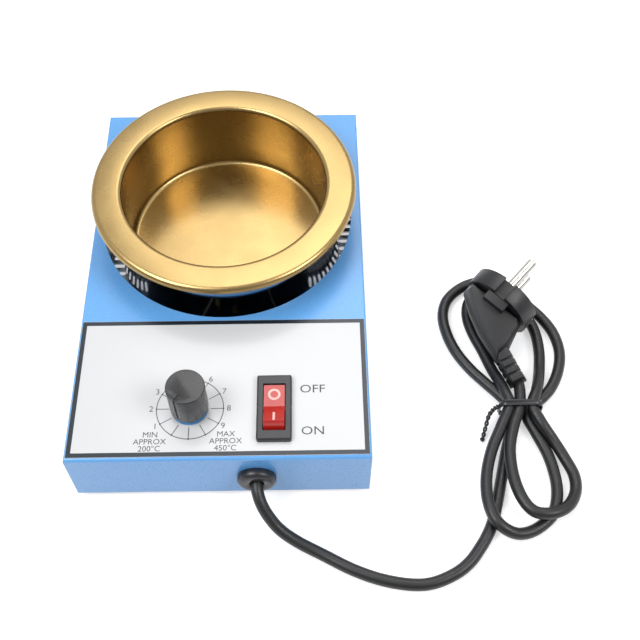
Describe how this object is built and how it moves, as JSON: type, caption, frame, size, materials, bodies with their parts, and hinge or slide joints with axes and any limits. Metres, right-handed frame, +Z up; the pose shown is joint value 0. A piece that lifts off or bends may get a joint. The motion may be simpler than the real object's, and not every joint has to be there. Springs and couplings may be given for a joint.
{
  "type": "solder pot",
  "caption": "Desktop solder pot: a gold-finished crucible with a flat rim in a polished heat shield, set in a blue sheet-steel case with dial, lit rocker switch and mains lead",
  "frame": {"origin": "middle of the footprint of the case, on the table it stands on", "axes": "+Z up, the control panel's front faces -Y, +X to the right of someone facing the panel"},
  "size_m": [0.2373, 0.2549, 0.0638],
  "materials": {
    "blue_paint": "smooth semi-gloss powder coat",
    "zinc_sheet": "galvanised sheet",
    "black_rubber": "plain moulded rubber",
    "zinc_screw": "zinc plated",
    "label_film": "printed panel plate under clear film",
    "gold_finish": "satin gold-coloured coating, spun",
    "mirror_steel": "mirror-polished stainless steel",
    "mica_plate": "plain metal-sheathed heater plate",
    "fibre_felt": "pressed ceramic fibre",
    "board_green": "solder-masked board",
    "brass_plain": "plain turned or stamped brass",
    "aluminium_fin": "extruded, plain",
    "black_plastic": "moulded, satin",
    "copper_coil": "enamelled winding",
    "yellow_case": "moulded",
    "white_plastic": "moulded",
    "switch_red": "translucent moulded red",
    "lamp_glass": "neon lamp glass",
    "brown_lead": "insulated wire",
    "blue_lead": "insulated wire",
    "earth_lead": "insulated wire",
    "glass_sleeve": "woven glass sleeve",
    "black_cord": "satin flexible jacket",
    "pin_steel": "nickel plated"
  },
  "bodies": {
    "case": {"case_cover": "blue_paint", "base_plate": "zinc_sheet", "foot_1": "black_rubber", "foot_2": "black_rubber", "foot_3": "black_rubber", "foot_4": "black_rubber", "foot_screws": "zinc_screw", "cover_screws": "zinc_screw", "label_plate": "label_film", "crucible": "gold_finish", "heat_shield": "mirror_steel", "shield_spacer_1": "zinc_screw", "shield_spacer_2": "zinc_screw", "shield_spacer_3": "zinc_screw", "shield_screws": "zinc_screw", "heater_plate": "mica_plate", "heater_studs": "zinc_screw", "insulation_ring": "fibre_felt", "insulation_disc": "fibre_felt", "control_board": "board_green", "board_post_1": "brass_plain", "board_post_2": "brass_plain", "board_post_3": "brass_plain", "board_post_4": "brass_plain", "board_screws": "zinc_screw", "heatsink": "aluminium_fin", "triac": "black_plastic", "choke": "copper_coil", "capacitor": "yellow_case", "terminal_block": "white_plastic", "potentiometer_body": "zinc_screw", "potentiometer_washer": "zinc_screw", "potentiometer_nut": "black_plastic", "switch_housing": "black_plastic", "switch_terminals": "brass_plain", "cord_bushing": "black_rubber", "earth_screw": "zinc_screw", "earth_tag": "brass_plain", "lead_live": "brown_lead", "lead_neutral": "blue_lead", "lead_earth": "earth_lead", "lead_switched": "black_plastic", "heater_lead_1": "glass_sleeve", "heater_lead_2": "glass_sleeve", "power_cord": "black_cord", "cord_hank": "black_cord", "plug_body": "black_cord", "plug_pins": "pin_steel", "plug_earth_clips": "pin_steel", "twist_tie": "black_plastic"},
    "knob": {"knob": "black_plastic", "potentiometer_shaft": "aluminium_fin"},
    "rocker": {"switch_rocker": "switch_red", "neon_lamp": "lamp_glass"}
  },
  "joints": [
    {"name": "knob_turn", "type": "hinge", "parent": "case", "child": "knob", "pos_m": [-0.0133, -0.0786, 0.05], "axis": [0, 0, 1], "range_deg": [-300, 0]},
    {"name": "rocker_tilt", "type": "hinge", "parent": "case", "child": "rocker", "pos_m": [0.0245, -0.0794, 0.0381], "axis": [1, 0, 0], "range_deg": [0, 22]}
  ]
}
